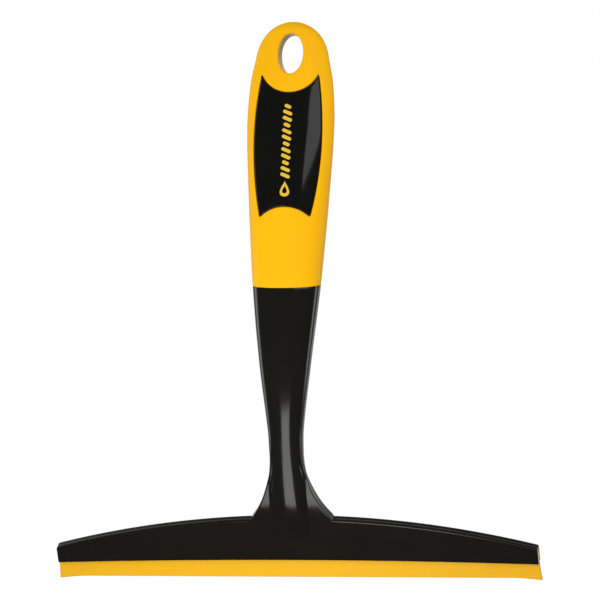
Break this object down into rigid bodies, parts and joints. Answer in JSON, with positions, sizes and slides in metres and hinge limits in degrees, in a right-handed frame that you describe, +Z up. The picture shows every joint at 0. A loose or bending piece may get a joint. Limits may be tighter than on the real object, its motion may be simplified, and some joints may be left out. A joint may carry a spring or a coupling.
{
  "type": "window squeegee",
  "caption": "Hand window squeegee: hollow two-shell handle and arched head, moulded-on soft grip with inlaid panel and hang hole, rubber blade that slides in and flexes.",
  "frame": {"origin": "middle of the hang hole's top seat, half-way through the grip, where a hook carries the tool", "axes": "+Z up along the tool towards its crown, -Y the front with the badge panel, +X to the right of somebody facing the front"},
  "size_m": [0.223, 0.0354, 0.2511],
  "materials": {
    "shell_black": "glossy black moulded polypropylene, polished mould",
    "grip_yellow": "satin yellow thermoplastic elastomer, moulded on",
    "panel_black": "high-gloss black ABS with a pale yellow printed mark",
    "blade_yellow": "smooth yellow rubber, cut edge"
  },
  "bodies": {
    "handle": {"front_shell": "shell_black", "rear_shell": "shell_black", "grip_sleeve": "grip_yellow", "badge_panel": "panel_black"},
    "blade": {"blade_bead": "blade_yellow"},
    "lip": {"blade_lip": "blade_yellow"}
  },
  "joints": [
    {"name": "blade_slide", "type": "slide", "parent": "handle", "child": "blade", "axis": [1, 0, 0], "range_m": [0, 0.222]},
    {"name": "lip_flex", "type": "hinge", "parent": "blade", "child": "lip", "pos_m": [0, 0.00451, -0.23781], "axis": [1, 0, 0], "range_deg": [-28, 28], "stiffness_Nm_per_rad": 0.1}
  ]
}
